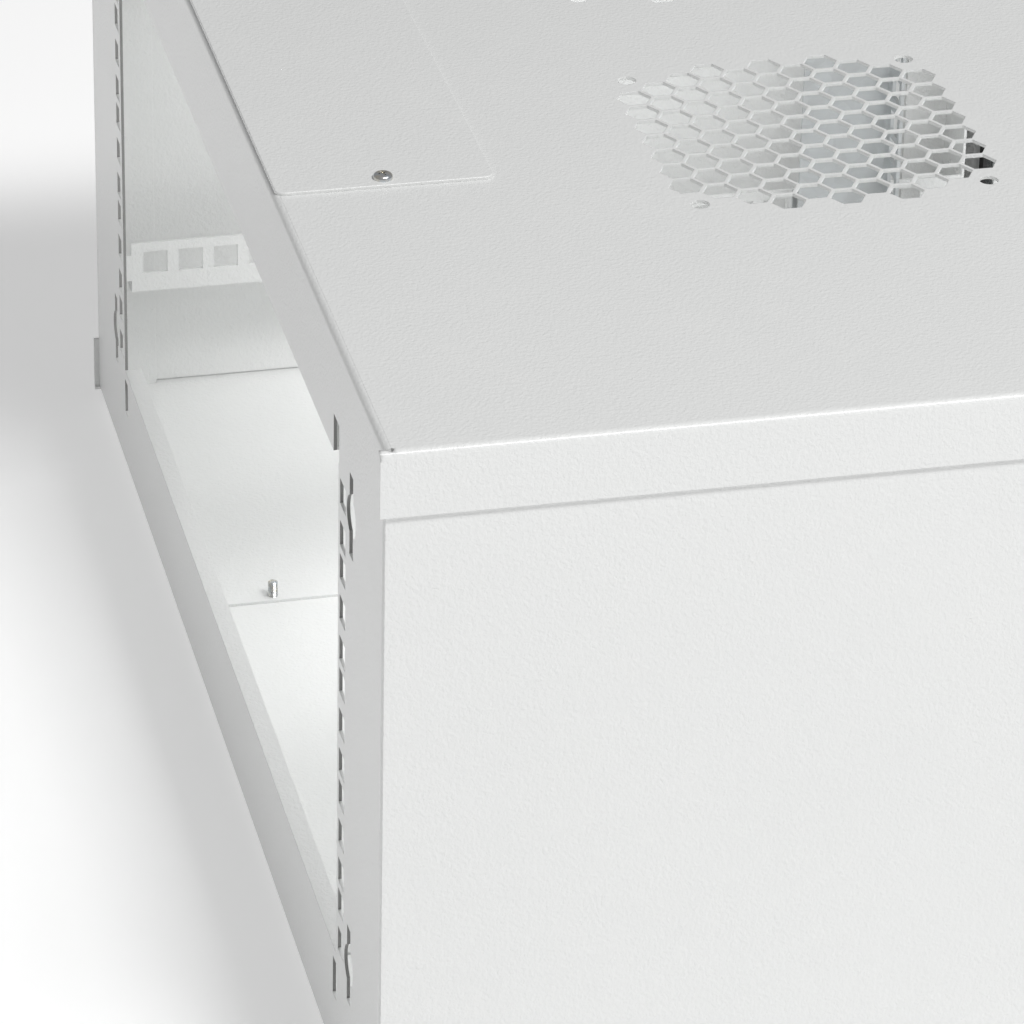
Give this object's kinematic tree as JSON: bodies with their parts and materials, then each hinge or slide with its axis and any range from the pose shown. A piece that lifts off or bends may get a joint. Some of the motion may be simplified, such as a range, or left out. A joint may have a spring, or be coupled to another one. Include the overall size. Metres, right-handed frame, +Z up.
{
  "type": "network rack cabinet",
  "caption": "Low wall or desk cabinet for rack-width network equipment: folded steel body open at the rear, hexagonal fan vents in the roof, cable entries and a glazed front door with a cam lock.",
  "frame": {"origin": "centre of the bounding box's bottom, on the surface that the rubber feet stand on", "axes": "+X to the right as seen from the front, +Y to the open rear, +Z up"},
  "size_m": [0.6, 0.4, 0.296],
  "materials": {
    "powder_coat": "light grey powder coat with a fine orange peel",
    "zinc": "light zinc-coated sheet",
    "screw_zinc": "bright zinc plating",
    "lock_chrome": "satin nickel",
    "rubber": "matt black",
    "foam": "closed-cell foam",
    "nylon": "natural nylon",
    "glass": "lightly tinted safety glass"
  },
  "bodies": {
    "cabinet": {"top_cover": "powder_coat", "bottom_cover": "powder_coat", "rear_frame": "powder_coat", "side_panel_left": "powder_coat", "upper_rail_left": "powder_coat", "lower_rail_left": "powder_coat", "mounting_profile_left": "zinc", "side_panel_right": "powder_coat", "upper_rail_right": "powder_coat", "lower_rail_right": "powder_coat", "mounting_profile_right": "zinc", "profile_brackets": "zinc", "profile_bolts": "screw_zinc", "profile_nuts": "screw_zinc", "top_cable_plate": "powder_coat", "bottom_cable_plate": "powder_coat", "top_plate_screws": "screw_zinc", "bottom_plate_screws": "screw_zinc", "front_frame": "powder_coat", "front_flanges": "powder_coat", "upper_hinge_plate": "powder_coat", "lower_hinge_plate": "powder_coat", "hinge_pins": "screw_zinc", "door_seal": "foam", "rubber_feet": "rubber", "earth_stud": "screw_zinc", "earth_nut": "screw_zinc"},
    "door": {"door_frame": "powder_coat", "hinge_bushes": "nylon", "door_glass": "glass", "glass_bead": "rubber", "lock_barrel": "lock_chrome", "lock_nut": "lock_chrome"},
    "lock": {"lock_plug": "lock_chrome", "lock_cam": "zinc", "lock_cam_screw": "screw_zinc"}
  },
  "joints": [
    {"name": "door_hinge", "type": "hinge", "parent": "cabinet", "child": "door", "pos_m": [0.292, -0.1915, 0.15], "axis": [0, 0, 1], "range_deg": [0, 180]},
    {"name": "lock_turn", "type": "hinge", "parent": "door", "child": "lock", "pos_m": [-0.258, -0.197, 0.1514], "axis": [0, -1, 0], "range_deg": [0, 90]}
  ]
}
